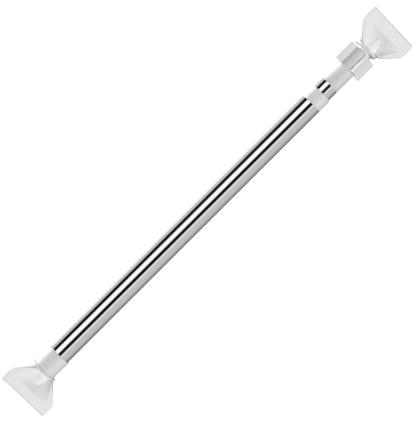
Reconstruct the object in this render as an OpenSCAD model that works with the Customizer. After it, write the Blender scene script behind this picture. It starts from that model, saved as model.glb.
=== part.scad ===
// Telescopic closet rod: two chromed tubes, one moulded foot at each end,
// a twist lock inside the tubes and a four-winged nut that drives one foot out.
// The rod lies along X. The origin is the centre of foot A's contact face,
// Y runs along the feet's long side and Z along their short side.

/* [Tubes] */
// Outside diameter of the outer tube
outer_d = 25; // [24:0.5:30]
// Wall of the outer tube
outer_wall = 0.7; // [0.5:0.1:1.2]
// Length of the outer tube
outer_len = 398.5; // [250:0.5:1200]
// Radial gap between the tubes, filled by the end collar's lip
tube_gap = 0.6; // [0.5:0.05:1]
// Wall of the inner tube
inner_wall = 0.6; // [0.5:0.1:1]
// Length of the outer tube between the socket and the inner tube, where the twist lock stands
lock_room = 40.5; // [38:0.5:80]
// Length of inner tube that shows between the collar and the end plug
inner_show = 12.2; // [2:0.1:40]

/* [End collar] */
// Length of the collar that shows past the outer tube
collar_len = 15.6; // [8:0.1:20]
// Length of the collar's lip inside the outer tube
collar_lip_len = 12; // [6:1:20]

/* [Feet] */
// Long side of a foot
foot_w = 62; // [56:1:80]
// Short side of a foot
foot_d = 42; // [40:1:56]
// Height of a foot from its contact face to the top of its neck
foot_h = 32.5; // [29:0.5:40]
// Extra height of the slab of the foot on the drive screw
foot_b_extra = 2.7; // [0:0.1:5]
// Height at which the sloping flanks start
slab_h = 15.2; // [13:0.1:17]
// Width of the neck's top between the flanks
neck_w = 29; // [27:1:34]
// Depth of the neck's top, across the broad faces
neck_d = 34; // [32:1:39]
// Radius of the rounded long edges
foot_r = 2; // [1:0.5:6]
// Radius of the bulge of the two short sides
bulge_r = 40; // [40:1:90]
// Wall of the moulding
foot_wall = 2.4; // [1.8:0.2:3]
// Thickness of the ribs under the foot
foot_rib = 1.8; // [1.2:0.2:2.6]
// Place of the outer cross ribs, as a share of the hollow's half width
rib_place = 0.62; // [0.55:0.01:0.75]

/* [Foot pockets] */
// Width of a rim at the slab, across the rod
rim_w = 8; // [6:0.1:9]
// Width of a rim at the neck, across the rod
rim_neck_w = 4; // [3:0.1:5]
// Height at which a pocket's floor leaves the broad face
pocket_h = 11.3; // [9.5:0.1:12]
// Height of a pocket's floor above the rod's axis at the neck
floor_neck_z = 10.2; // [9:0.1:11]
// Radius of the hollow across a pocket's floor
bowl_r = 220; // [120:5:400]
// Draft of a pocket's walls
pocket_draft = 25; // [5:1:30]
// Reach of the neck's round corners from the rod's axis
neck_corner_r = 20.5; // [19:0.1:21]
// Radius of the round neck that runs into the pocket's floor
neck_r = 13.5; // [12:0.1:14]

/* [Pads] */
// Thickness of a pad that shows under the foot
pad_t = 1.8; // [1.4:0.1:3]
// Thickness of the pad's plug inside the foot
pad_plug_t = 1.2; // [0.8:0.2:1.6]
// Step from the foot's side in to the pad's
pad_inset = 0.3; // [0.2:0.1:1]
// Width of a groove across the contact face
groove_w = 1.4; // [0.8:0.2:2]
// Depth of a groove
groove_h = 0.6; // [0.3:0.1:1]
// Spacing of the grooves
groove_pitch = 6; // [4:0.5:9]

/* [Socket] */
// Wall of the sleeve that holds the outer tube
socket_wall = 1.15; // [1:0.05:2]
// Length of outer tube that the sleeve grips
socket_grip = 23; // [14:1:30]
// Thickness of the socket's flange
socket_flange_t = 2.9; // [2.5:0.1:5]
// How far the flange stands out past the sleeve
socket_flange_out = 2.5; // [1:0.25:4]
// Radius of the spigots that enter the feet
spigot_r = 7.4; // [6.5:0.1:7.6]
// Length of the spigots
spigot_len = 12; // [9:1:13]

/* [Wing nut] */
// Wall of the nut round the drive screw
nut_wall = 1.85; // [1.6:0.05:4]
// Length of the nut's plain skirt
skirt_len = 23.4; // [12:0.1:36]
// Length of the wings along the rod
wing_len = 24.8; // [16:0.1:30]
// Diameter over the wing tips
wing_tip_d = 40.4; // [36:0.2:41]
// Thickness of a wing
wing_t = 5.2; // [3:0.2:6]
// Number of wings
wing_count = 4; // [3:1:5]
// Turn of the first wing away from +Z, towards -Y
wing_turn = 15.6; // [0:0.1:89]
// Radius of a wing's outer corner on the foot's side
wing_corner_r = 3; // [1.5:0.5:5]
// Radius of a wing's outer corner on the tube's side
wing_heel_r = 0.8; // [0.5:0.1:1.5]
// Chamfer on the end of the nut's hub
hub_chamfer = 0.8; // [0.4:0.1:1.2]

/* [Drive screw] */
// Pitch of the drive screw's thread
thread_pitch = 4; // [3:0.5:6]
// Turns of the nut from the pictured place to full reach
turns_out = 5; // [3:1:7]
// Turns of the nut from the pictured place to fully drawn in
turns_in = 0.5; // [0.5:0.5:3]
// Thread left showing when the foot is fully drawn in
park_gap = 0.5; // [0.3:0.1:4]
// Diameter of the drive screw's flange
screw_flange_d = 29.4; // [26:0.2:34]
// Thickness of the drive screw's flange
screw_flange_t = 3.2; // [2.5:0.1:5]

/* [End plug] */
// Wall of the plug inside the inner tube
plug_wall = 0.9; // [0.7:0.1:1.5]
// Length of the plug inside the inner tube
plug_len = 22; // [14:1:30]
// Thickness of the plug's flange on the tube's end
plug_flange_t = 1.4; // [1:0.1:3]

/* [Twist lock] */
// Length of the split lock ring
lock_len = 14.4; // [10:0.2:20]
// Offset of the eccentric pin from the rod's axis
lock_offset = 1; // [0.8:0.1:1.2]
// Radius of the eccentric pin
lock_pin_r = 6.4; // [5.5:0.1:7]
// Radial play between the pin and the lock ring, taken up as the rod is twisted
lock_play = 0.85; // [0.85:0.05:1]
// Width of the slot that splits the ring
lock_slot = 2; // [1:0.25:3]
// Depth of the grip grooves round the ring
lock_groove = 0.5; // [0.3:0.1:0.8]
// Length of the lock plug inside the inner tube
lock_plug_len = 18; // [12:1:26]
// Thickness of the lock plug's shoulder
lock_shoulder_t = 1.8; // [1.2:0.2:3]

/* [Fasteners] */
// Diameter of the self-tapping screws
screw_d = 4.4; // [3.5:0.1:4.8]
// Length of the screws under the head
screw_len = 16; // [14:1:18]
// Diameter of the pan heads
head_d = 8.4; // [7.6:0.2:9]
// Height of the pan heads
head_h = 2.8; // [2.2:0.1:3.4]
// Diameter of the plain washers
washer_d = 11; // [10:0.2:11.6]
// Thickness of the plain washers
washer_t = 1; // [0.8:0.1:1.4]
// Wall of plastic that a foot's screw clamps
clamp_t = 5.5; // [4:0.5:6]

/* [Fits] */
// Radial clearance of parts that are pushed together or turn in each other
fit = 0.05; // [0.02:0.01:0.09]
// Radial clearance of parts that pass each other loosely
loose = 0.35; // [0.3:0.05:0.4]
// Gap between end faces that turn on each other
face_gap = 0.15; // [0.1:0.05:0.4]

/* [Hidden] */
$fn = 96;

white_plastic = "#e9eaec";
nylon = "#d9dadc";
soft_pad = "#cfd1d3";
chrome = "#c4c7cb";
zinc = "#a9adb2";

// Radii of the tubes
outer_r = outer_d / 2;
outer_bore_r = outer_r - outer_wall;
inner_r = outer_bore_r - tube_gap;
inner_bore_r = inner_r - inner_wall;

// Places along the rod, from foot A's contact face
outer_x = foot_h + socket_flange_t;
outer_end_x = outer_x + outer_len;
collar_end_x = outer_end_x + collar_len;
inner_end_x = collar_end_x + inner_show;
inner_x = outer_x + lock_room;
nut_x = inner_end_x + plug_flange_t + face_gap;
wing_x = nut_x + skirt_len;
nut_end_x = wing_x + wing_len;
thread_show = park_gap + turns_in * thread_pitch;
screw_flange_x = nut_end_x + thread_show;
foot_b_neck_x = screw_flange_x + screw_flange_t;
total_len = foot_b_neck_x + foot_h + foot_b_extra;

// Twist lock, which stands on the inner end of the inner tube
lock_pin_x = inner_x - lock_shoulder_t;
lock_pin_len = lock_len + 2 * loose;
lock_washer_x = lock_pin_x - lock_pin_len - washer_t;

// Drive screw, which passes the end plug and ends at a stop washer
plug_r = inner_bore_r - fit;
plug_bore_r = plug_r - plug_wall;
stud_r = plug_bore_r - loose;
hub_r = stud_r + fit + nut_wall;
stop_gap = 0.5;
plug_in_x = inner_end_x - plug_len;
stud_x = plug_in_x - turns_out * thread_pitch - stop_gap - washer_t;

// Foot outline: how far the flank comes in for each millimetre of height
flank = (foot_w - neck_w) / 2 / (foot_h - slab_h);
flank_q = sqrt(1 + flank * flank);
boss_seat = foot_h - spigot_len - clamp_t;
core_top = foot_h - spigot_len + foot_wall;
floor_fall = (foot_d / 2 - floor_neck_z) / (foot_h - pocket_h);
slab_corner_r = norm([foot_w, foot_d]) / 2;
over = 1;
far = 2 * foot_w;

// Heights in a foot whose slab is taller by extra
function bulge_u(extra) = (slab_h + extra) / 2;
function side_half(u, extra) = sqrt(pow(bulge_r, 2) - pow(u - bulge_u(extra), 2)) - bulge_r + foot_w / 2;
function core_half(u, extra) = floor_neck_z - foot_wall + floor_fall * (foot_h + extra - u);
function cavity_half_w(extra) = side_half(pad_t, extra) - foot_wall;

pad_half_d = foot_d / 2 - pad_inset;
cavity_half_d = foot_d / 2 - foot_wall;
rib_x = pad_t + pad_plug_t + fit;

// A round bar along X
module bar(r, x0, x1) {
  translate([x0, 0, 0]) rotate([0, 90, 0]) cylinder(h = x1 - x0, r = r);
}

// A tube along X
module pipe(r, bore, x0, x1) {
  difference() {
    bar(r, x0, x1);
    bar(bore, x0 - over, x1 + over);
  }
}

// A round bar along X with a chamfer on its far end
module chamfered_bar(r, x0, x1, chamfer) {
  bar(r, x0, x1 - chamfer);
  translate([x1 - chamfer, 0, 0]) rotate([0, 90, 0]) cylinder(h = chamfer, r1 = r, r2 = r - chamfer);
}

// A rectangle with round corners, centred
module rounded_rect(w, h, r) {
  square([w - 2 * r, h], center = true);
  square([w, h - 2 * r], center = true);
  for (sx = [-1, 1], sy = [-1, 1])
    translate([sx * (w / 2 - r), sy * (h / 2 - r)]) circle(r = r);
}

// Extrudes a shape drawn in Y and Z along X
module along_x(x0, x1) {
  translate([x0, 0, 0]) rotate([90, 0, 90]) linear_extrude(height = x1 - x0) children();
}

// Extrudes a shape drawn in X and Z along Y
module along_y(width) {
  rotate([90, 0, 0]) linear_extrude(height = width, center = true) children();
}

// The broad face's outline, drawn in by inset, from height u0 to u1
module foot_outline(inset, u0, u1, extra) {
  a = foot_w / 2 - inset;
  c = slab_h + extra - inset * (flank_q - 1) / flank;
  b = foot_w / 2 - flank * (u1 - slab_h - extra) - inset * flank_q;
  polygon([[u0, -a], [c, -a], [u1, -b], [u1, b], [c, a], [u0, a]]);
}

// The moulding's outside: broad-face outline, tapering side view and round long edges
module foot_body(extra) {
  slab = slab_h + extra;
  top = foot_h + extra;
  intersection() {
    linear_extrude(height = foot_d, center = true) intersection() {
      foot_outline(0, pad_t, top, extra);
      translate([bulge_u(extra), foot_w / 2 - bulge_r]) circle(r = bulge_r, $fn = 180);
      translate([bulge_u(extra), bulge_r - foot_w / 2]) circle(r = bulge_r, $fn = 180);
    }
    along_y(foot_w) polygon([
      [pad_t, -foot_d / 2], [slab, -foot_d / 2], [top, -neck_d / 2],
      [top, neck_d / 2], [slab, foot_d / 2], [pad_t, foot_d / 2]
    ]);
    along_x(pad_t, top) rounded_rect(foot_w, foot_d, foot_r);
    union() {
      bar(slab_corner_r, pad_t, slab);
      translate([slab, 0, 0]) rotate([0, 90, 0])
        cylinder(h = foot_h - slab_h, r1 = slab_corner_r, r2 = neck_corner_r);
    }
  }
}

// The space inside one drafted wall of a pocket, whose top edge falls to the neck
module pocket_side(side, extra) {
  run = foot_h - slab_h;
  slab_y = foot_w / 2 - rim_w;
  neck_y = neck_w / 2 - rim_neck_w;
  fall = (foot_d - neck_d) / 2 / norm([run, slab_y - neck_y]);
  translate([slab_h + extra, side * slab_y, foot_d / 2])
    rotate([0, 0, -side * atan((slab_y - neck_y) / run)]) rotate([0, atan(fall), 0])
      rotate([-side * pocket_draft, 0, 0])
        translate([-far, -(1 + side) * far / 2, -far]) cube([2 * far, far, 2 * far]);
}

// What a pocket takes out of the +Z face: a hollow floor that falls to the neck, and drafted walls
module pocket(extra) {
  intersection() {
    pocket_side(1, extra);
    pocket_side(-1, extra);
    translate([foot_h + extra, 0, floor_neck_z]) rotate([0, 90 + atan(floor_fall), 0])
      translate([-bowl_r, 0, -far]) cylinder(h = 2 * far, r = bowl_r, $fn = 360);
  }
}

// The hollow under the foot: a shallow tray in the slab and a core that follows the pockets' floors
module foot_core(extra) {
  tray = pocket_h + extra - foot_wall;
  top = core_top + extra;
  along_x(0, tray) rounded_rect(2 * cavity_half_w(extra), 2 * cavity_half_d, foot_r / 2);
  intersection() {
    linear_extrude(height = 2 * cavity_half_d, center = true)
      foot_outline(foot_wall + rim_neck_w / 2, tray - over, top, extra);
    along_y(foot_w) polygon([
      [0, -core_half(0, extra)], [top, -core_half(top, extra)],
      [top, core_half(top, extra)], [0, core_half(0, extra)]
    ]);
  }
}

// Ribs and the central boss in the hollow, which stop short of the pad's plug
module foot_ribs(extra) {
  bar(neck_r, rib_x, foot_h + extra);
  translate([rib_x, -foot_w / 2, -foot_rib / 2]) cube([foot_h, foot_w, foot_rib]);
  for (y = [-1, 0, 1] * cavity_half_w(extra) * rib_place)
    translate([rib_x, y - foot_rib / 2, -foot_d / 2]) cube([foot_h, foot_rib, foot_d]);
}

// The foot's moulding, from the pad's seat to the neck
module foot_shell(extra) {
  top = foot_h + extra;
  seat = boss_seat + extra;
  difference() {
    union() {
      difference() {
        foot_body(extra);
        pocket(extra);
        mirror([0, 0, 1]) pocket(extra);
        difference() {
          foot_core(extra);
          foot_ribs(extra);
        }
      }
      bar(neck_r, seat, top);
    }
    bar(spigot_r + fit, top - spigot_len, top + over);
    bar(screw_d / 2 + loose, 0, top);
    bar(washer_d / 2 + loose, 0, seat);
  }
}

// The soft pad: its plug sits inside the foot, and shallow grooves cross its contact face
module foot_pad(extra) {
  half_w = side_half(pad_t, extra) - pad_inset;
  difference() {
    union() {
      along_x(0, pad_t) rounded_rect(2 * half_w, 2 * pad_half_d, foot_r);
      along_x(pad_t - fit, pad_t + pad_plug_t)
        rounded_rect(2 * (cavity_half_w(extra) - fit), 2 * (cavity_half_d - fit), foot_r / 2);
    }
    for (side = [-1, 1], y = [groove_pitch * 0.7 : groove_pitch : half_w - groove_pitch / 2])
      translate([-over, side * y - groove_w / 2, -foot_d]) cube([over + groove_h, groove_w, 2 * foot_d]);
  }
}

// A pan-head screw along +X, with its head's underside at x = 0
module pan_screw(len) {
  difference() {
    bar(head_d / 2, -head_h, 0);
    for (turn = [0, 90])
      rotate([turn, 0, 0]) translate([-head_h - over, -head_d / 4, -head_h / 8])
        cube([over + head_h / 2, head_d / 2, head_h / 4]);
  }
  bar(screw_d / 2, 0, len - screw_d / 2);
  translate([len - screw_d / 2, 0, 0]) rotate([0, 90, 0]) cylinder(h = screw_d / 2, r1 = screw_d / 2, r2 = screw_d / 8);
}

// A plain washer along X that starts at x = 0
module plain_washer() {
  pipe(washer_d / 2, screw_d / 2 + fit, 0, washer_t);
}

// The blind hole that a screw of the given length bites into, along +X from x = 0
module pilot_hole(len) {
  bar(screw_d / 2 + fit, -over, len + over / 2);
}

// Turns a foot's piece round to the other end of the rod
module at_end_b() {
  translate([total_len, 0, 0]) rotate([0, 0, 180]) children();
}

// Foot A

module foot_a_shell() {
  color(white_plastic) foot_shell(0);
}

module foot_a_pad() {
  color(soft_pad) foot_pad(0);
}

module foot_a_washer() {
  color(zinc) translate([boss_seat - washer_t, 0, 0]) plain_washer();
}

module foot_a_screw() {
  color(zinc) translate([boss_seat - washer_t, 0, 0]) pan_screw(screw_len);
}

// The socket: a spigot in the foot's neck, a round flange and the sleeve over the tube
module foot_a_socket() {
  color(white_plastic) difference() {
    union() {
      bar(spigot_r, foot_h - spigot_len + loose, foot_h);
      bar(outer_r + fit + socket_wall + socket_flange_out, foot_h, outer_x);
      bar(outer_r + fit + socket_wall, foot_h, outer_x + socket_grip);
    }
    bar(outer_r + fit, outer_x, outer_x + socket_grip + over);
    translate([boss_seat - washer_t, 0, 0]) pilot_hole(screw_len);
  }
}

// Tubes

module outer_tube() {
  color(chrome) pipe(outer_r, outer_bore_r, outer_x, outer_end_x);
}

// The collar: flush with the outer tube outside, with a thin lip between the two tubes
module end_collar() {
  color(white_plastic) {
    pipe(outer_r, inner_r + fit, outer_end_x, collar_end_x);
    pipe(outer_bore_r - fit, inner_r + fit, outer_end_x - collar_lip_len, outer_end_x);
  }
}

module inner_tube() {
  color(chrome) pipe(inner_r, inner_bore_r, inner_x, inner_end_x);
}

// Twist lock

// The split ring with its eccentric bore, which the pin wedges against the outer tube
module lock_ring() {
  ring_r = outer_bore_r - loose;
  ring_x = lock_pin_x - loose - lock_len;
  color(nylon) difference() {
    bar(ring_r, ring_x, ring_x + lock_len);
    translate([0, lock_offset, 0]) bar(lock_pin_r + lock_play, ring_x - over, ring_x + lock_len + over);
    translate([ring_x - over, 0, -lock_slot / 2]) cube([lock_len + 2 * over, outer_r, lock_slot]);
    for (share = [0.25, 0.5, 0.75])
      pipe(outer_r, ring_r - lock_groove, ring_x + lock_len * share - lock_groove, ring_x + lock_len * share + lock_groove);
  }
}

// The plug that carries the eccentric pin on the inner tube's end
module lock_plug() {
  color(nylon) difference() {
    union() {
      bar(plug_r, inner_x, inner_x + lock_plug_len);
      bar(inner_r, lock_pin_x, inner_x);
      translate([0, lock_offset, 0]) bar(lock_pin_r, lock_pin_x - lock_pin_len, lock_pin_x);
    }
    translate([lock_washer_x, lock_offset, 0]) pilot_hole(screw_len);
    bar(plug_r - 3 * plug_wall, inner_x + lock_plug_len / 3, inner_x + lock_plug_len + over);
  }
}

module lock_washer() {
  color(zinc) translate([lock_washer_x, lock_offset, 0])
    pipe(lock_pin_r + lock_play + 1.5 * washer_t, screw_d / 2 + fit, 0, washer_t);
}

module lock_screw() {
  color(zinc) translate([lock_washer_x, lock_offset, 0]) pan_screw(screw_len);
}

// Wing nut and drive screw

// The plug that closes the inner tube, guides the drive screw and carries the nut's thrust
module end_plug() {
  color(white_plastic) {
    pipe(plug_r, plug_bore_r, plug_in_x, inner_end_x);
    pipe(inner_r, plug_bore_r, inner_end_x, inner_end_x + plug_flange_t);
  }
}

// One wing, drawn along X from the rod's axis out to its tip
module wing_profile() {
  tip = wing_tip_d / 2;
  r = wing_corner_r;
  heel = wing_heel_r;
  translate([heel, 0]) square([wing_len - r - heel, tip]);
  square([wing_len, tip - r]);
  square([wing_len / 2, tip - heel]);
  translate([heel, tip - heel]) circle(r = heel);
  translate([wing_len - r, tip - r]) circle(r = r);
}

module wing_nut() {
  color(white_plastic) difference() {
    union() {
      chamfered_bar(hub_r, nut_x, nut_end_x, hub_chamfer);
      for (i = [0 : wing_count - 1])
        rotate([90 + wing_turn + i * 360 / wing_count, 0, 0])
          translate([wing_x, 0, 0]) linear_extrude(height = wing_t, center = true) wing_profile();
    }
    bar(stud_r + fit, nut_x - over, nut_end_x + over);
  }
}

// The hollow-ended drive screw: threaded bar, flange against the foot, spigot in its neck
module drive_screw() {
  color(white_plastic) difference() {
    union() {
      bar(stud_r, stud_x + washer_t, screw_flange_x);
      bar(screw_flange_d / 2, screw_flange_x, foot_b_neck_x);
      bar(spigot_r, foot_b_neck_x, foot_b_neck_x + spigot_len - loose);
    }
    translate([stud_x, 0, 0]) pilot_hole(screw_len);
    at_end_b() translate([boss_seat + foot_b_extra - washer_t, 0, 0]) pilot_hole(screw_len);
  }
}

// The stop washer that keeps the drive screw from being wound right out
module screw_stop() {
  color(zinc) pipe(inner_bore_r - loose, screw_d / 2 + fit, stud_x, stud_x + washer_t);
}

module stop_screw() {
  color(zinc) translate([stud_x, 0, 0]) pan_screw(screw_len);
}

// Foot B

module foot_b_shell() {
  color(white_plastic) at_end_b() foot_shell(foot_b_extra);
}

module foot_b_pad() {
  color(soft_pad) at_end_b() foot_pad(foot_b_extra);
}

module foot_b_washer() {
  color(zinc) at_end_b() translate([boss_seat + foot_b_extra - washer_t, 0, 0]) plain_washer();
}

module foot_b_screw() {
  color(zinc) at_end_b() translate([boss_seat + foot_b_extra - washer_t, 0, 0]) pan_screw(screw_len);
}

foot_a_shell();
foot_a_pad();
foot_a_washer();
foot_a_screw();
foot_a_socket();
outer_tube();
end_collar();
lock_ring();
lock_plug();
lock_washer();
lock_screw();
inner_tube();
end_plug();
wing_nut();
drive_screw();
screw_stop();
stop_screw();
foot_b_shell();
foot_b_pad();
foot_b_washer();
foot_b_screw();
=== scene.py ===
import math

import bmesh
import bpy
import numpy as np
from mathutils import Matrix, Vector


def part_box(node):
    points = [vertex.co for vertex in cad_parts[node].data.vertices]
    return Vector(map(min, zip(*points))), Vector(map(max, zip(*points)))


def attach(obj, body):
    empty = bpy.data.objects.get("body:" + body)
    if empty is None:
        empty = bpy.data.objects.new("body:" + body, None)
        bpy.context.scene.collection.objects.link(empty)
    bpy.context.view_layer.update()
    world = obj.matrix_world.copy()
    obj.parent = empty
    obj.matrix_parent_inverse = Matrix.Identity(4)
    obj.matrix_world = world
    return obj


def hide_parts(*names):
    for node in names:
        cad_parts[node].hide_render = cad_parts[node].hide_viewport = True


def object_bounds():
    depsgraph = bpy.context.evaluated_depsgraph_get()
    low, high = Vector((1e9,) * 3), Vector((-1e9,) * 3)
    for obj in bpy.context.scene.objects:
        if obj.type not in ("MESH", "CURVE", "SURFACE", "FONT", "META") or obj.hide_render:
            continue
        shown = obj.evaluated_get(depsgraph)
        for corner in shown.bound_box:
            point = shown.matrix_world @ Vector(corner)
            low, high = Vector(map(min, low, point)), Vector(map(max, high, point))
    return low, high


bl_info = {
    "name": "Telescopic closet rod",
    "version": (1, 0, 0),
    "blender": (4, 5, 0),
    "location": "View3D > Sidebar > Closet rod",
    "description": "Surfaces, finishes and studio of a telescopic closet rod",
    "category": "Object",
}

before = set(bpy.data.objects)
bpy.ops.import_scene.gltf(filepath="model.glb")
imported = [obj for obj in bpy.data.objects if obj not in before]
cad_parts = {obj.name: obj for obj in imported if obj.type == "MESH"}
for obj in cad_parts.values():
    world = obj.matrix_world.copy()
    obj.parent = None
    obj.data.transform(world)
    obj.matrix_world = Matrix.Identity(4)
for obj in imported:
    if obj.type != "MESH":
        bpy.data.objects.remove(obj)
CAD_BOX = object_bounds()
MM = 0.001


def span(node):
    """Start and end of a CAD node along the rod, and its largest radius there, in metres."""
    low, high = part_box(node)
    return low.x, high.x, (high.y - low.y) / 2


def linear(hex_colour):
    """An sRGB hex colour as linear RGBA."""
    parts = [int(hex_colour[i : i + 2], 16) / 255 for i in (1, 3, 5)]
    return tuple(c / 12.92 if c <= 0.04045 else ((c + 0.055) / 1.055) ** 2.4 for c in parts) + (1.0,)


OUTER = span("outer_tube")
INNER = span("inner_tube")
NUT = span("wing_nut")
SCREW = span("drive_screw")
SOCKET = span("foot_a_socket")
COLLAR = span("end_collar")
PLUG = span("end_plug")
FLOOR_Z = CAD_BOX[0][2]

# The finishes' names: the real material and how it is finished.
FOOT_WHITE = "PP_white_moulded_satin"
WHITE = "ABS_white_moulded_satin"
# The nut's finish is the fittings' white ABS made a darker grey: painted shade on the nut.
NUT_WHITE_PAINTED_SHADE = "ABS_white_moulded_nut"
NYLON = "Nylon_natural_moulded"
CHROME = "Steel_chrome_plated_drawn"
RUBBER = "EVA_rubber_matt"
ZINC = "Steel_zinc_plated"

# Edges that turn more than this stay sharp: in turned pieces, and in the thread with its coarser facets.
SHARP = math.radians(35)
THREAD_SHARP = math.radians(60)

# Facets round a turned piece, a chromed tube and the thread, and rings in one turn of the thread.
TURNED_FACETS = 192
TUBE_FACETS = 256
THREAD_FACETS = 72
THREAD_RINGS = 12

# The thread's profile over one pitch: its height is CREST - FLANK * (distance from the crest's middle, as a
# part of the pitch), cut off at 0 (the root) and 1 (the crest).
THREAD_FLANK = 5.2
THREAD_CREST = 1.7


def colour(name, description, hex_colour):
    return bpy.props.FloatVectorProperty(
        name=name, description=description, subtype="COLOR", size=4, min=0, max=1, default=linear(hex_colour)
    )


def length(name, description, millimetres):
    return bpy.props.FloatProperty(
        name=name, description=description, subtype="DISTANCE", unit="LENGTH", default=millimetres * MM
    )


def lean(name, description, degrees):
    return bpy.props.FloatProperty(
        name=name, description=description, subtype="ANGLE", default=math.radians(degrees)
    )


def number(name, description, value):
    kind = bpy.props.IntProperty if isinstance(value, int) else bpy.props.FloatProperty
    return kind(name=name, description=description, default=value)


class RodSizes(bpy.types.PropertyGroup):
    """Sizes of the surface detail."""

    tube_wall: length("Tube wall", "Wall of both tubes where their ends show", 0.7)
    tube_edge: length("Tube edge", "Radius of the tubes' deburred ends", 0.15)
    moulded_edge: length("Moulded edge", "Radius of the edges of turned mouldings", 0.45)
    foot_grain: length("Foot grain", "Mesh size of the feet", 0.45)
    foot_rounding: number("Foot rounding", "Passes that soften the feet's edges", 3)
    nut_grain: length("Nut grain", "Mesh size of the winged nut", 0.3)
    nut_rounding: number("Nut rounding", "Passes that soften the nut's edges", 2)
    thread_pitch: length("Thread pitch", "Advance of the drive screw in one turn", 4.0)
    thread_depth: length("Thread depth", "Depth of the drive screw's thread", 1.15)
    thread_play: length("Thread play", "Gap between the thread's crest and the end plug's bore", 0.35)
    thread_gap: length("Thread gap", "Plain length between the screw's flange and its thread", 0.4)
    thread_fade: length("Thread fade", "Length over which the thread rises to its full depth", 1.2)
    socket_flange_t: length("Socket flange", "Thickness of the socket's flange", 2.9)
    screw_flange_t: length("Screw flange", "Thickness of the drive screw's flange", 3.2)
    spigot_r: length("Spigot radius", "Radius of the spigots inside the feet", 7.4)
    sleeve_wall: length("Sleeve wall", "Wall of the socket's sleeve", 1.2)
    seat_gap: length("Seat gap", "Gap between a sleeve and the tube in it or round it", 0.05)
    plug_inset: length("Plug inset", "End plug's shank under the inner tube's outside", 0.65)
    plug_wall: length("Plug wall", "Wall of the end plug's shank", 0.9)
    axis_r: length("Axis radius", "Radius at which the section of a solid turned piece is closed", 0.5)


class RodPocket(bpy.types.PropertyGroup):
    """Shape of the hollow in the feet's broad faces."""

    slab: length("Slab", "Height of the foot's straight part", 15.2)
    extra: length("Extra", "How much taller foot B's slab is", 2.7)
    neck_d: length("Neck depth", "Foot's short side at the neck", 34.0)
    cut_slab: length("Cut at the slab", "Half width of the plain pocket at the slab", 23.0)
    cut_neck: length("Cut at the neck", "Half width of the plain pocket at the neck", 10.5)
    cut_floor: length("Cut floor", "Half depth of the plain pocket's floor at the neck", 10.2)
    ridge: length("Ridge", "Height at which the floor leaves the face", 11.4)
    fall: lean("Fall", "Slope of the floor", 36)
    dish: number("Dish", "Hollow across the floor at the neck, per millimetre", 0.1)
    dish_growth: number("Dish growth", "Power by which the hollow grows from the ridge to the neck", 1.5)
    wall: lean("Wall", "Slope of the side walls", 49)
    edge_from: length("Edge's start", "Height at which the hollow starts to narrow", 13.0)
    edge_run: length("Edge's run", "Height over which it narrows", 18.0)
    edge_slab: length("Edge at the slab", "Half width of the hollow at the slab", 23.1)
    edge_neck: length("Edge at the neck", "Half width of the hollow at the neck", 13.1)
    wall_ease: length("Foot of the wall", "Ease between floor and wall", 1.0)
    rim_ease: length("Rim edge", "Ease between wall and rim", 0.18)
    nose_from: length("Nose", "Height at which the neck's nose leaves the floor", 17.8)
    nose_top: length("Nose's height", "Half depth over the nose's tip", 16.1)
    neck_top: length("Neck's height", "Half depth over the round neck", 13.2)
    nose_round: length("Nose's round", "Radius across the nose's crown", 3.2)
    nose_flank: number("Nose's flank", "Slope of the nose's flanks", 0.9)
    nose_ease: length("Foot of the nose", "Ease between floor and nose", 0.1)
    skin_lean: number("Skin's lean", "Least upward part of the normal of a face that is pressed", 0.2)
    skin_under: length("Skin under", "How far under the plain pocket's floor a point still is skin", 1.4)
    skin_beside: length("Skin beside", "How far beside the plain pocket a point still is skin", 0.3)
    skin_before: length("Skin before", "How far before the ridge a point still is skin", 2.0)


class RodColours(bpy.types.PropertyGroup):
    """Colours of the finishes."""

    foot: colour("Feet", "White plastic of the two feet", "#E4E4E4")
    foot_shade: colour("Feet shade", "Flow shade in the feet", "#E0E0E0")
    plastic: colour("Fittings", "White plastic of the turned mouldings", "#D3D3D3")
    plastic_shade: colour("Fittings shade", "Flow shade in the turned mouldings", "#CECECE")
    # The nut's two greys are the fittings' white ABS made darker: painted shade. Only the cloudy mix between
    # them is real flow tone.
    nut: colour("Nut", "White plastic of the winged nut", "#CBCBCB")
    nut_flow_and_painted_shade: colour("Nut shade", "Flow shade in the winged nut", "#C6C6C6")
    chrome: colour("Chrome", "Chrome plate", "#C4C4C4")
    pad: colour("Pad", "Soft pad", "#D2D2D2")
    nylon: colour("Nylon", "Nylon of the twist lock", "#D6D5D1")
    zinc: colour("Zinc", "Zinc plate on the fasteners", "#B9BCC0")
    room: colour("Room", "Wall behind the studio floor, which gives no light", "#FFFFFF")
    floor: colour("Floor", "Studio floor", "#FFFFFF")


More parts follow.
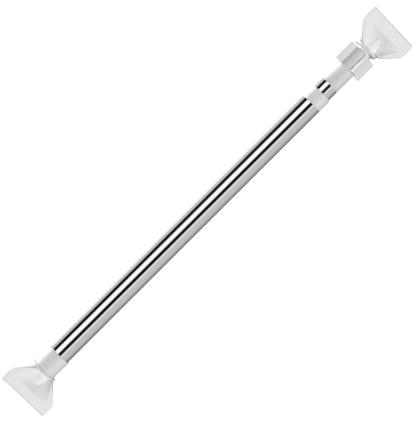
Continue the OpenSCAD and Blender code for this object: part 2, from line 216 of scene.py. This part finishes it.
class RodStudio(bpy.types.PropertyGroup):
    """Camera and light."""

    distance: length("Distance", "Camera to the rod", 2030)
    tilt: lean("Tilt", "Camera's place, leaning towards +Y", 12.9)
    roll: lean("Roll", "Turn of the camera round its lens", 0.08)
    lens: number("Lens", "Focal length in millimetres", 162.7)
    aim_x: length("Aim along", "Point on the rod at the picture's centre", 275.84)
    aim_down: length("Aim below", "Picture's centre below the rod's axis", 4.06)
    floor_half: length("Floor", "Half of the floor's side", 4000)
    floor_gap: length("Floor gap", "Floor under the rod", 0.2)
    floor_glow: number("Floor glow", "Light of the floor itself", 1.1)
    tent_r: length("Tent", "Radius of the card tent round the rod", 600)
    tent_strips: number("Strips", "Strips of card round the tent", 360)
    sun_size: lean("Light size", "Size of the far lights, as seen from the rod", 20)
    kicker: number("Kicker", "Watts of the beam on the nut", 45.0)
    kicker_cone: lean("Kicker's cone", "Width of the beam on the nut", 2.4)
    kicker_size: length("Kicker's size", "Radius of the lamp that lights the nut", 20)
    kicker_side: lean("Kicker's side", "Direction of the beam on the nut, from the camera's", -95)
    wing_x: length("Wing along", "Middle of the wings from the middle of the nut", 8)
    wing_z: length("Wing's tip", "Upright wing's tip over the axis", 19)
    pad_light: number("Pad light", "Watts of the beam on each pad", 30.0)
    pad_cone: lean("Pad light's cone", "Width of the beam on each pad", 6.5)
    pad_size: length("Pad light's size", "Radius of the lamp that lights a pad", 100)
    pad_out: length("Pad light out", "Pad's lamp from the pad, along the rod", 600)
    pad_side: length("Pad light's side", "Pad's lamp beside the rod, towards -Y", 530)


def sizes():
    return bpy.context.scene.rod_sizes


def colours():
    return bpy.context.scene.rod_colours


def add_node(tree, kind, links=None, **settings):
    """Adds a shader node: settings are its properties, links are input name to value or output socket."""
    made = tree.nodes.new(kind)
    for key, value in settings.items():
        setattr(made, key, value)
    for key, value in (links or {}).items():
        socket = made.inputs[key]
        if isinstance(value, bpy.types.NodeSocket):
            tree.links.new(value, socket)
        else:
            socket.default_value = value
    return made


def new_material(name):
    """An empty node material and its tree."""
    material = bpy.data.materials.new(name)
    material.use_nodes = True
    material.node_tree.nodes.clear()
    return material, material.node_tree


def moulded_plastic(name, body, shade, ior, roughness, grain_mm, bump):
    """A plastic, injection moulded in a spark-eroded mould: an even satin skin with a very soft highlight,
    faint cloudy flow marks and a fine pebble grain that only a close look shows."""
    material, tree = new_material(name)
    place = add_node(tree, "ShaderNodeTexCoord").outputs["Object"]
    flow = add_node(
        tree,
        "ShaderNodeTexNoise",
        {"Vector": place, "Scale": 1 / (18 * MM), "Detail": 2.0, "Roughness": 0.4},
    )
    tint = add_node(
        tree, "ShaderNodeMix", {"Factor": flow.outputs["Fac"], "A": body, "B": shade}, data_type="RGBA"
    )
    grain = add_node(
        tree,
        "ShaderNodeTexNoise",
        {"Vector": place, "Scale": 1 / (grain_mm * MM), "Detail": 3.0, "Roughness": 0.6},
    )
    relief = add_node(
        tree, "ShaderNodeBump", {"Height": grain.outputs["Fac"], "Strength": bump, "Distance": 0.05 * MM}
    )
    skin = add_node(
        tree,
        "ShaderNodeBsdfPrincipled",
        {
            "Base Color": tint.outputs["Result"],
            "Roughness": roughness,
            "IOR": ior,
            "Normal": relief.outputs["Normal"],
        },
    )
    add_node(tree, "ShaderNodeOutputMaterial", {"Surface": skin.outputs["BSDF"]})
    return material


def chrome_plate(name, body):
    """Welded steel tube, drawn, buffed and chrome plated: mirror bright, with hair-fine lines along the
    tube from drawing and a light orange peel that break the reflections into a faint speckle."""
    material, tree = new_material(name)
    place = add_node(tree, "ShaderNodeTexCoord").outputs["Object"]
    # Real draw lines are about 0.05 mm wide; they are drawn 0.35 mm wide so that they show.
    stretch = add_node(tree, "ShaderNodeMapping", {"Vector": place, "Scale": (0.03, 1.0, 1.0)})
    lines = add_node(
        tree,
        "ShaderNodeTexNoise",
        {"Vector": stretch.outputs["Vector"], "Scale": 1 / (0.7 * MM), "Detail": 3.0, "Roughness": 0.7},
    )
    peel = add_node(
        tree,
        "ShaderNodeTexNoise",
        {"Vector": place, "Scale": 1 / (1.6 * MM), "Detail": 2.0, "Roughness": 0.5},
    )
    haze = add_node(
        tree,
        "ShaderNodeMapRange",
        {"Value": lines.outputs["Fac"], "From Min": 0.3, "From Max": 0.7, "To Min": 0.02, "To Max": 0.08},
    )
    height = add_node(
        tree,
        "ShaderNodeMix",
        {"Factor": 0.35, "A": lines.outputs["Fac"], "B": peel.outputs["Fac"]},
        data_type="FLOAT",
    )
    relief = add_node(
        tree, "ShaderNodeBump", {"Height": height.outputs["Result"], "Strength": 0.25, "Distance": 0.02 * MM}
    )
    skin = add_node(
        tree,
        "ShaderNodeBsdfPrincipled",
        {
            "Base Color": body,
            "Metallic": 1.0,
            "Roughness": haze.outputs["Result"],
            "Normal": relief.outputs["Normal"],
        },
    )
    add_node(tree, "ShaderNodeOutputMaterial", {"Surface": skin.outputs["BSDF"]})
    return material


def soft_rubber(name, body):
    """EVA rubber, pressed in a matt mould: a dull, slightly darker grey-white with no clear highlight."""
    material, tree = new_material(name)
    place = add_node(tree, "ShaderNodeTexCoord").outputs["Object"]
    cells = add_node(
        tree,
        "ShaderNodeTexNoise",
        {"Vector": place, "Scale": 1 / (0.6 * MM), "Detail": 4.0, "Roughness": 0.65},
    )
    mottle = add_node(
        tree,
        "ShaderNodeMapRange",
        {"Value": cells.outputs["Fac"], "To Min": 0.94, "To Max": 1.04},
    )
    tint = add_node(
        tree,
        "ShaderNodeVectorMath",
        {0: body[:3], 1: mottle.outputs["Result"]},
        operation="MULTIPLY",
    )
    relief = add_node(
        tree, "ShaderNodeBump", {"Height": cells.outputs["Fac"], "Strength": 0.4, "Distance": 0.08 * MM}
    )
    skin = add_node(
        tree,
        "ShaderNodeBsdfPrincipled",
        {
            "Base Color": tint.outputs["Vector"],
            "Roughness": 0.75,
            "IOR": 1.49,
            "Normal": relief.outputs["Normal"],
        },
    )
    add_node(tree, "ShaderNodeOutputMaterial", {"Surface": skin.outputs["BSDF"]})
    return material


def zinc_plate(name, body):
    """Steel, rolled and bright zinc plated: a soft grey metal shine with a fine spangle."""
    material, tree = new_material(name)
    place = add_node(tree, "ShaderNodeTexCoord").outputs["Object"]
    spangle = add_node(tree, "ShaderNodeTexVoronoi", {"Vector": place, "Scale": 1 / (0.8 * MM)})
    haze = add_node(
        tree,
        "ShaderNodeMapRange",
        {"Value": spangle.outputs["Distance"], "To Min": 0.22, "To Max": 0.42},
    )
    skin = add_node(
        tree,
        "ShaderNodeBsdfPrincipled",
        {"Base Color": body, "Metallic": 1.0, "Roughness": haze.outputs["Result"]},
    )
    add_node(tree, "ShaderNodeOutputMaterial", {"Surface": skin.outputs["BSDF"]})
    return material


def finish(name):
    """The named finish, made on first use."""
    if name in bpy.data.materials:
        return bpy.data.materials[name]
    c = colours()
    # Each plastic's colour, flow shade, IOR, roughness, grain in millimetres and strength of its relief.
    plastics = {
        FOOT_WHITE: (c.foot, c.foot_shade, 1.49, 0.4, 0.35, 0.3),
        WHITE: (c.plastic, c.plastic_shade, 1.54, 0.25, 0.35, 0.3),
        # The nut has the fittings' ABS in a darker grey: painted shade.
        NUT_WHITE_PAINTED_SHADE: (c.nut, c.nut_flow_and_painted_shade, 1.54, 0.25, 0.35, 0.3),
        NYLON: (c.nylon, c.nylon, 1.53, 0.45, 0.3, 0.2),
    }
    if name in plastics:
        return moulded_plastic(name, *plastics[name])
    makers = {CHROME: (chrome_plate, c.chrome), RUBBER: (soft_rubber, c.pad), ZINC: (zinc_plate, c.zinc)}
    maker, body = makers[name]
    return maker(name, body)


def put(name, mesh, body, material, replaces=(), smooth_angle=SHARP):
    """Makes a piece of a mesh, gives it its finish and seats it on its CAD body."""
    piece = bpy.data.objects.new(name, mesh)
    bpy.context.scene.collection.objects.link(piece)
    mesh.materials.clear()
    mesh.materials.append(finish(material))
    for face in mesh.polygons:
        face.use_smooth = True
    if smooth_angle is not None:
        mesh.set_sharp_from_angle(angle=smooth_angle)
    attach(piece, body)
    if replaces:
        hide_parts(*replaces)
    return piece


def dress(node, material):
    """Gives a CAD node, whose shape is right, its finish."""
    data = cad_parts[node].data
    data.materials.clear()
    data.materials.append(finish(material))


def rounded(points, radius, steps=5):
    """A closed profile with each corner replaced by an arc; a point's third value is its own radius."""
    out = []
    count = len(points)
    for i, point in enumerate(points):
        here = Vector(point[:2])
        before = Vector(points[i - 1][:2]) - here
        after = Vector(points[(i + 1) % count][:2]) - here
        r = point[2] if len(point) > 2 else radius
        angle = before.angle(after)
        reach = r / math.tan(angle / 2)
        reach = min(reach, 0.49 * before.length, 0.49 * after.length)
        if reach < 1e-6:
            out.append(here)
            continue
        start = here + before.normalized() * reach
        end = here + after.normalized() * reach
        for k in range(steps + 1):
            f = k / steps
            out.append(start * (1 - f) ** 2 + here * 2 * f * (1 - f) + end * f**2)
    return out


def held_flat(profile, hold=0.2 * MM):
    """The profile with a point near both ends of each long side, so that its shading stays straight."""
    out = []
    for i, point in enumerate(profile):
        run = profile[(i + 1) % len(profile)] - point
        out.append(point)
        if run.length > 5 * hold:
            out += [point + run.normalized() * hold, point + run - run.normalized() * hold]
    return out


def turned(name, points, radius, segments=TURNED_FACETS):
    """Revolves a closed profile of (along the rod, distance from the axis) round the rod's axis."""
    profile = held_flat(rounded(points, radius))
    count = len(profile)
    mesh = bpy.data.meshes.new(name)
    verts = []
    faces = []
    for k in range(segments):
        turn = 2 * math.pi * k / segments
        c, s = math.cos(turn), math.sin(turn)
        verts += [(p[0], p[1] * c, p[1] * s) for p in profile]
    for k in range(segments):
        a = k * count
        b = (k + 1) % segments * count
        faces += [(a + i, a + (i + 1) % count, b + (i + 1) % count, b + i) for i in range(count)]
    mesh.from_pydata(verts, [], faces)
    face_out(mesh)
    return mesh


def face_out(mesh):
    """Turns every face outwards and merges doubled points."""
    form = bmesh.new()
    form.from_mesh(mesh)
    bmesh.ops.remove_doubles(form, verts=form.verts, dist=1e-7)
    bmesh.ops.recalc_face_normals(form, faces=form.faces)
    form.to_mesh(mesh)
    form.free()


def soft_max(a, b, ease):
    """The larger of two heights, with their crease rounded."""
    return (a + b) / 2 + np.sqrt((a - b) ** 2 / 4 + ease**2)


def pocket_height(u, y):
    """Half depth of a foot at height u over its contact face and y beside the middle, in millimetres."""
    p = bpy.context.scene.rod_pocket
    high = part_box("foot_a_shell")[1]
    top, face = high.x / MM, high.z / MM
    slab, ridge = p.slab / MM, p.ridge / MM
    rim = face - (face - p.neck_d / 2 / MM) * np.clip((u - slab) / (top - slab), 0, 1)
    down = u - ridge
    dish = p.dish * np.clip(down / (top - ridge), 0, 1) ** p.dish_growth
    floor = face - math.tan(p.fall) * down + dish * y * y / 2
    narrow = np.maximum((u - p.edge_from / MM) / (p.edge_run / MM), 0)
    edge = (p.edge_slab + (p.edge_neck - p.edge_slab) * narrow) / MM
    wall = rim - math.tan(p.wall) * (edge - y)
    along = (u - p.nose_from / MM) / (top - p.nose_from / MM)
    crown = (p.nose_top + (p.neck_top - p.nose_top) * along) / MM
    bend = p.nose_round / MM
    nose = crown - p.nose_flank * bend * (np.sqrt(1 + (y / bend) ** 2) - 1)
    low = soft_max(soft_max(floor, nose, p.nose_ease / MM), wall, p.wall_ease / MM)
    return -soft_max(-rim, -low, p.rim_ease / MM)


def press_pockets(mesh, end):
    """Gives both broad faces of a foot their dished hollow with the neck's nose in it."""
    p = bpy.context.scene.rod_pocket
    spots = np.empty(len(mesh.vertices) * 3)
    mesh.vertices.foreach_get("co", spots)
    spots = spots.reshape(-1, 3)
    out = np.empty(len(mesh.vertices) * 3)
    mesh.vertices.foreach_get("normal", out)
    side = np.sign(spots[:, 2])
    up = out.reshape(-1, 3)[:, 2] * side
    u = spots[:, 0] / MM if end == "a" else (CAD_BOX[1][0] - spots[:, 0] - p.extra) / MM
    y, z = np.abs(spots[:, 1]) / MM, np.abs(spots[:, 2]) / MM
    height = pocket_height(u, y)
    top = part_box("foot_a_shell")[1].x
    cut = np.interp(u, [p.slab / MM, top / MM], [p.cut_slab / MM, p.cut_neck / MM])
    floor = np.interp(u, [p.ridge / MM, top / MM], [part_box("foot_a_shell")[1].z / MM, p.cut_floor / MM])
    skin = (up > p.skin_lean) & (z > floor - p.skin_under / MM)
    skin &= (y < cut + p.skin_beside / MM) & (u > (p.ridge - p.skin_before) / MM)
    spots[:, 2] = side * np.where(skin, height, np.minimum(z, height)) * MM
    mesh.vertices.foreach_set("co", spots.ravel())
    mesh.update()


def softened(name, node, grain, passes):
    """A copy of a moulded CAD node with the small radii that a mould leaves on every edge."""
    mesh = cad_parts[node].data.copy()
    mesh.name = name
    holder = bpy.data.objects.new(name + "_blank", mesh)
    bpy.context.scene.collection.objects.link(holder)
    grid = holder.modifiers.new("Grid", "REMESH")
    grid.mode = "VOXEL"
    grid.voxel_size = grain
    ease = holder.modifiers.new("Ease", "SMOOTH")
    ease.factor = 0.5
    ease.iterations = passes
    shaped = bpy.data.meshes.new_from_object(holder.evaluated_get(bpy.context.evaluated_depsgraph_get()))
    shaped.name = name
    bpy.data.objects.remove(holder)
    bpy.data.meshes.remove(mesh)
    return shaped


class CLOSETROD_OT_tubes(bpy.types.Operator):
    """Makes the two chromed tubes."""

    bl_idname = "closetrod.tubes"
    bl_label = "Tubes"

    def execute(self, context):
        s = sizes()
        for name, node, body, (x0, x1, r) in (
            ("outer_tube_chromed", "outer_tube", "outer", OUTER),
            ("inner_tube_chromed", "inner_tube", "inner", INNER),
        ):
            bore = r - s.tube_wall
            mesh = turned(name, [(x0, bore), (x1, bore), (x1, r), (x0, r)], s.tube_edge, TUBE_FACETS)
            put(name, mesh, body, CHROME, [node])
        return {"FINISHED"}


class CLOSETROD_OT_feet(bpy.types.Operator):
    """Makes the two flared feet and finishes their pads."""

    bl_idname = "closetrod.feet"
    bl_label = "Feet"

    def execute(self, context):
        s = sizes()
        for end, body in (("a", "outer"), ("b", "foot_b")):
            node = f"foot_{end}_shell"
            mesh = softened(f"foot_{end}_moulding", node, s.foot_grain, s.foot_rounding)
            press_pockets(mesh, end)
            put(f"foot_{end}_moulding", mesh, body, FOOT_WHITE, [node], None)
            dress(f"foot_{end}_pad", RUBBER)
        return {"FINISHED"}


class CLOSETROD_OT_fittings(bpy.types.Operator):
    """Makes the turned mouldings: socket, collar and end plug."""

    bl_idname = "closetrod.fittings"
    bl_label = "Fittings"

    def execute(self, context):
        s = sizes()
        e = s.moulded_edge
        x0, x1, r = SOCKET
        flange_x1 = OUTER[0]
        flange_x0 = flange_x1 - s.socket_flange_t
        sleeve_r = OUTER[2] + s.sleeve_wall
        bore = OUTER[2] + s.seat_gap
        socket = turned(
            "socket_moulding",
            [
                (x0, s.axis_r),
                (flange_x1, s.axis_r, 0),
                (flange_x1, bore, 0),
                (x1, bore, e / 3),
                (x1, sleeve_r, e),
                (flange_x1, sleeve_r, e),
                (flange_x1, r, e),
                (flange_x0, r, e),
                (flange_x0, s.spigot_r, 0),
                (x0, s.spigot_r, e),
            ],
            0,
        )
        put("socket_moulding", socket, "outer", WHITE, ["foot_a_socket"])
        x0, x1, r = COLLAR
        bore = INNER[2] + s.seat_gap
        lip = OUTER[2] - s.tube_wall - s.seat_gap
        collar = turned(
            "collar_moulding",
            [
                (x0, bore, 0),
                (x1, bore, e),
                (x1, r, e),
                (OUTER[1], r, e / 4),
                (OUTER[1], lip, 0),
                (x0, lip, 0),
            ],
            0,
        )
        put("collar_moulding", collar, "outer", WHITE, ["end_collar"])
        x0, x1, r = PLUG
        plug_r = INNER[2] - s.plug_inset
        bore = plug_r - s.plug_wall
        plug = turned(
            "end_plug_moulding",
            [
                (x0, bore, 0),
                (x1, bore, 0),
                (x1, r, e / 3),
                (INNER[1], r, e / 4),
                (INNER[1], plug_r, 0),
                (x0, plug_r, 0),
            ],
            0,
        )
        put("end_plug_moulding", plug, "inner", WHITE, ["end_plug"])
        return {"FINISHED"}


class CLOSETROD_OT_wing_nut(bpy.types.Operator):
    """Makes the nut with its four wings."""

    bl_idname = "closetrod.wing_nut"
    bl_label = "Wing nut"

    def execute(self, context):
        s = sizes()
        mesh = softened("wing_nut_moulding", "wing_nut", s.nut_grain, s.nut_rounding)
        put("wing_nut_moulding", mesh, "nut", NUT_WHITE_PAINTED_SHADE, ["wing_nut"], None)
        return {"FINISHED"}


class CLOSETROD_OT_drive_screw(bpy.types.Operator):
    """Makes the drive screw with its coarse right-hand thread."""

    bl_idname = "closetrod.drive_screw"
    bl_label = "Drive screw"

    def execute(self, context):
        s = sizes()
        x0, x1, flange_r = SCREW
        foot_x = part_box("foot_b_shell")[0].x
        flange_x = foot_x - s.screw_flange_t
        crest = PLUG[2] - s.plug_inset - s.plug_wall - s.thread_play
        pitch = s.thread_pitch
        step = pitch / THREAD_RINGS
        rings = int((flange_x - x0) / step)
        around = THREAD_FACETS
        verts = []
        for i in range(rings + 1):
            x = flange_x - (rings - i) * step
            fade = min(1.0, max(0.0, (flange_x - x - s.thread_gap) / s.thread_fade))
            for k in range(around):
                turn = 2 * math.pi * k / around
                phase = (x / pitch - turn / (2 * math.pi)) % 1.0
                rise = min(1.0, max(0.0, THREAD_CREST - abs(phase - 0.5) * THREAD_FLANK))
                depth = s.thread_depth * (1 - rise * fade)
                r = crest - depth
                verts.append((x, r * math.cos(turn), r * math.sin(turn)))
        faces = []
        for i in range(rings):
            for k in range(around):
                here, there = i * around + k, i * around + (k + 1) % around
                faces.append((here, there, there + around, here + around))
        faces.append(tuple(range(around)))
        faces.append(tuple(rings * around + k for k in range(around)))
        stud = bpy.data.meshes.new("drive_screw_thread")
        stud.from_pydata(verts, [], faces)
        face_out(stud)
        put("drive_screw_thread", stud, "foot_b", WHITE, ["drive_screw"], THREAD_SHARP)
        e = s.moulded_edge
        head = turned(
            "drive_screw_flange",
            [
                (flange_x, s.axis_r, 0),
                (flange_x, flange_r, e),
                (foot_x, flange_r, e),
                (foot_x, s.spigot_r, 0),
                (x1, s.spigot_r, e),
                (x1, s.axis_r, 0),
            ],
            0,
        )
        put("drive_screw_flange", head, "foot_b", WHITE, ["drive_screw"])
        return {"FINISHED"}


class CLOSETROD_OT_inner_parts(bpy.types.Operator):
    """Finishes the twist lock and the fasteners inside the rod."""

    bl_idname = "closetrod.inner_parts"
    bl_label = "Twist lock and fasteners"

    def execute(self, context):
        for node in ("lock_ring", "lock_plug"):
            dress(node, NYLON)
        feet = ("foot_a_washer", "foot_a_screw", "foot_b_washer", "foot_b_screw")
        for node in (*feet, "lock_washer", "lock_screw", "screw_stop", "stop_screw"):
            dress(node, ZINC)
        return {"FINISHED"}


# What the polished tube mirrors, as (degrees from the camera's direction, light of the card there).
TENT = [
    (-180, 0.60),
    (-137, 0.93),
    (-116, 1.18),
    (-94, 0.80),
    (-87, 0.01),
    (-57, 0.01),
    (-51, 1.73),
    (-18, 1.75),
    (-11, 0.01),
    (15, 0.01),
    (21, 1.42),
    (28, 1.42),
    (38, 0.96),
    (74, 0.95),
    (87, 0.83),
    (101, 0.67),
    (128, 0.33),
    (150, 0.25),
    (180, 0.60),
]

# Where the tent's three lengths begin and end along the rod, in metres, and how bright each is.
TENT_RINGS = (-0.9, -0.05, 0.602, 1.45)
TENT_DIM = (0.6, 1.0, 0.6)

# The far lights: name, degrees from the camera's direction, strength, and whether it casts shadows. The two
# big boxes stand for light that wraps round the rod from all sides, so they cast none.
LIGHTS = [
    ("main_light", 0, 2.24, False),
    ("side_light", 62, 1.55, False),
    ("low_light", -95, 0.8, True),
    ("bounce_light", -113, 5.9, True),
]


def tent_grey(angle):
    """Light of the tent in a direction, in degrees from the camera's direction towards -Y."""
    return float(np.interp(angle, [a for a, _ in TENT], [g for _, g in TENT]))


class CLOSETROD_OT_stage(bpy.types.Operator):
    """Sets the floor, the card tent that the chrome mirrors, the lights and the camera."""

    bl_idname = "closetrod.stage"
    bl_label = "Studio"

    def execute(self, context):
        scene = context.scene
        studio = scene.rod_studio
        scene.view_settings.view_transform = "Standard"
        scene.view_settings.look = "None"
        self.floor(scene, studio)
        self.tent(scene, studio)
        self.lights(scene, studio)
        self.camera(scene, studio)
        return {"FINISHED"}

    def floor(self, scene, studio):
        half = studio.floor_half
        z = FLOOR_Z - studio.floor_gap
        mesh = bpy.data.meshes.new("floor")
        corners = [(-half, -half, z), (half, -half, z), (half, half, z), (-half, half, z)]
        mesh.from_pydata(corners, [], [(0, 1, 2, 3)])
        floor = bpy.data.objects.new("floor", mesh)
        scene.collection.objects.link(floor)
        material, tree = new_material("Paper_white_sweep")
        place = add_node(tree, "ShaderNodeTexCoord").outputs["Object"]
        tooth = add_node(
            tree, "ShaderNodeTexNoise", {"Vector": place, "Scale": 1 / (1.5 * MM), "Detail": 2.0}
        )
        relief = add_node(
            tree, "ShaderNodeBump", {"Height": tooth.outputs["Fac"], "Strength": 0.1, "Distance": 0.05 * MM}
        )
        paper = add_node(
            tree,
            "ShaderNodeBsdfPrincipled",
            {
                "Base Color": colours().floor,
                "Roughness": 0.9,
                "Emission Color": (1, 1, 1, 1),
                "Emission Strength": studio.floor_glow,
                "Normal": relief.outputs["Normal"],
            },
        )
        add_node(tree, "ShaderNodeOutputMaterial", {"Surface": paper.outputs["BSDF"]})
        mesh.materials.append(material)
        floor.visible_glossy = False
        floor.visible_diffuse = False
        floor.visible_shadow = False

    def tent(self, scene, studio):
        radius, strips = studio.tent_r, studio.tent_strips
        mesh = bpy.data.meshes.new("card_tent")
        rings = len(TENT_RINGS)
        verts, faces, greys = [], [], []
        for k in range(strips):
            angle = math.radians(k * 360 / strips) - studio.tilt
            verts += [(x, -radius * math.sin(angle), radius * math.cos(angle)) for x in TENT_RINGS]
            here, there = k * rings, (k + 1) % strips * rings
            middle = (k + 0.5) * 360 / strips
            grey = tent_grey(middle if middle <= 180 else middle - 360)
            faces += [(here + i, here + i + 1, there + i + 1, there + i) for i in range(rings - 1)]
            greys += [grey * dim for dim in TENT_DIM]
            last = strips * rings
            faces += [(here, there, last), (here + rings - 1, there + rings - 1, last + 1)]
            greys += [grey * TENT_DIM[0], grey * TENT_DIM[-1]]
        verts += [(TENT_RINGS[0], 0, 0), (TENT_RINGS[-1], 0, 0)]
        mesh.from_pydata(verts, [], faces)
        mesh.attributes.new("card_grey", "FLOAT", "FACE").data.foreach_set("value", greys)
        material, tree = new_material("Card_tent")
        grey = add_node(tree, "ShaderNodeAttribute", attribute_name="card_grey")
        glow = add_node(tree, "ShaderNodeEmission", {"Color": (1, 1, 1, 1), "Strength": grey.outputs["Fac"]})
        add_node(tree, "ShaderNodeOutputMaterial", {"Surface": glow.outputs["Emission"]})
        mesh.materials.append(material)
        tent = bpy.data.objects.new("card_tent", mesh)
        scene.collection.objects.link(tent)
        tent.visible_camera = False
        tent.visible_diffuse = False
        tent.visible_transmission = False
        tent.visible_shadow = False

    def lights(self, scene, studio):
        world = bpy.data.worlds.new("room")
        world.use_nodes = True
        world.node_tree.nodes.clear()
        path = add_node(world.node_tree, "ShaderNodeLightPath")
        room = add_node(
            world.node_tree,
            "ShaderNodeBackground",
            {"Color": colours().room, "Strength": path.outputs["Is Camera Ray"]},
        )
        add_node(world.node_tree, "ShaderNodeOutputWorld", {"Surface": room.outputs["Background"]})
        scene.world = world
        for name, degrees, strength, shadow in LIGHTS:
            light = bpy.data.lights.new(name, "SUN")
            light.energy = strength
            light.use_shadow = shadow
            light.angle = studio.sun_size
            angle = math.radians(degrees) - studio.tilt
            lamp = bpy.data.objects.new(name, light)
            scene.collection.objects.link(lamp)
            away = Vector((0, -math.sin(angle), math.cos(angle)))
            lamp.matrix_world = (-away).to_track_quat("-Z", "Y").to_matrix().to_4x4()
            lamp.visible_glossy = False
        angle = studio.kicker_side - studio.tilt
        wing = Vector(((NUT[0] + NUT[1]) / 2 + studio.wing_x, 0, studio.wing_z))
        away = Vector((0, -math.sin(angle), math.cos(angle)))
        self.beam("nut_kicker", studio.kicker, wing, away, studio.kicker_cone, studio.kicker_size)
        for name, x, side in (("pad_light_a", CAD_BOX[0][0], -1), ("pad_light_b", CAD_BOX[1][0], 1)):
            away = Vector((studio.pad_out * side, -studio.pad_side, 0))
            self.beam(name, studio.pad_light, Vector((x, 0, 0)), away, studio.pad_cone, studio.pad_size)

    def beam(self, name, watts, target, away, cone, softness):
        """A narrow lamp at target + away that shines on the target."""
        light = bpy.data.lights.new(name, "SPOT")
        light.energy = watts
        light.spot_size = cone
        light.spot_blend = 0.2
        light.shadow_soft_size = softness
        lamp = bpy.data.objects.new(name, light)
        bpy.context.scene.collection.objects.link(lamp)
        turn = (-away).to_track_quat("-Z", "Y").to_matrix().to_4x4()
        lamp.matrix_world = Matrix.Translation(target + away) @ turn
        lamp.visible_glossy = False

    def camera(self, scene, studio):
        back = Vector((0, math.sin(studio.tilt), math.cos(studio.tilt)))
        along = Vector((1, 0, 0))
        across = back.cross(along)
        aim = Vector((studio.aim_x, 0, 0)) - across * studio.aim_down
        data = bpy.data.cameras.new("camera")
        data.lens = studio.lens
        data.sensor_width = 36
        data.clip_start = 0.1
        data.clip_end = 20
        camera = bpy.data.objects.new("camera", data)
        scene.collection.objects.link(camera)
        right, up = (along - across).normalized(), (along + across).normalized()
        turn = Matrix((right, up, back)).transposed().to_4x4()
        place = Matrix.Translation(aim) @ Matrix.Rotation(studio.roll, 4, back)
        camera.matrix_world = place @ Matrix.Translation(back * studio.distance) @ turn
        scene.camera = camera


OPERATORS = (
    CLOSETROD_OT_tubes,
    CLOSETROD_OT_feet,
    CLOSETROD_OT_fittings,
    CLOSETROD_OT_wing_nut,
    CLOSETROD_OT_drive_screw,
    CLOSETROD_OT_inner_parts,
    CLOSETROD_OT_stage,
)


class CLOSETROD_PT_panel(bpy.types.Panel):
    """Lists the rod's pieces and settings."""

    bl_idname = "CLOSETROD_PT_panel"
    bl_label = "Closet rod"
    bl_space_type = "VIEW_3D"
    bl_region_type = "UI"
    bl_category = "Closet rod"

    def draw(self, context):
        for operator in OPERATORS:
            self.layout.operator(operator.bl_idname)
        for key, group in GROUPS.items():
            box = self.layout.box()
            for name in group.__annotations__:
                box.prop(getattr(context.scene, key), name)


GROUPS = {"rod_sizes": RodSizes, "rod_pocket": RodPocket, "rod_colours": RodColours, "rod_studio": RodStudio}


def register():
    for cls in (*GROUPS.values(), *OPERATORS, CLOSETROD_PT_panel):
        bpy.utils.register_class(cls)
    for key, group in GROUPS.items():
        setattr(bpy.types.Scene, key, bpy.props.PointerProperty(type=group))


def unregister():
    for key in GROUPS:
        delattr(bpy.types.Scene, key)
    for cls in (CLOSETROD_PT_panel, *reversed(OPERATORS), *GROUPS.values()):
        bpy.utils.unregister_class(cls)


def main():
    register()
    bpy.ops.closetrod.tubes()
    bpy.ops.closetrod.feet()
    bpy.ops.closetrod.fittings()
    bpy.ops.closetrod.wing_nut()
    bpy.ops.closetrod.drive_screw()
    bpy.ops.closetrod.inner_parts()
    bpy.ops.closetrod.stage()


if __name__ == "__main__":
    main()
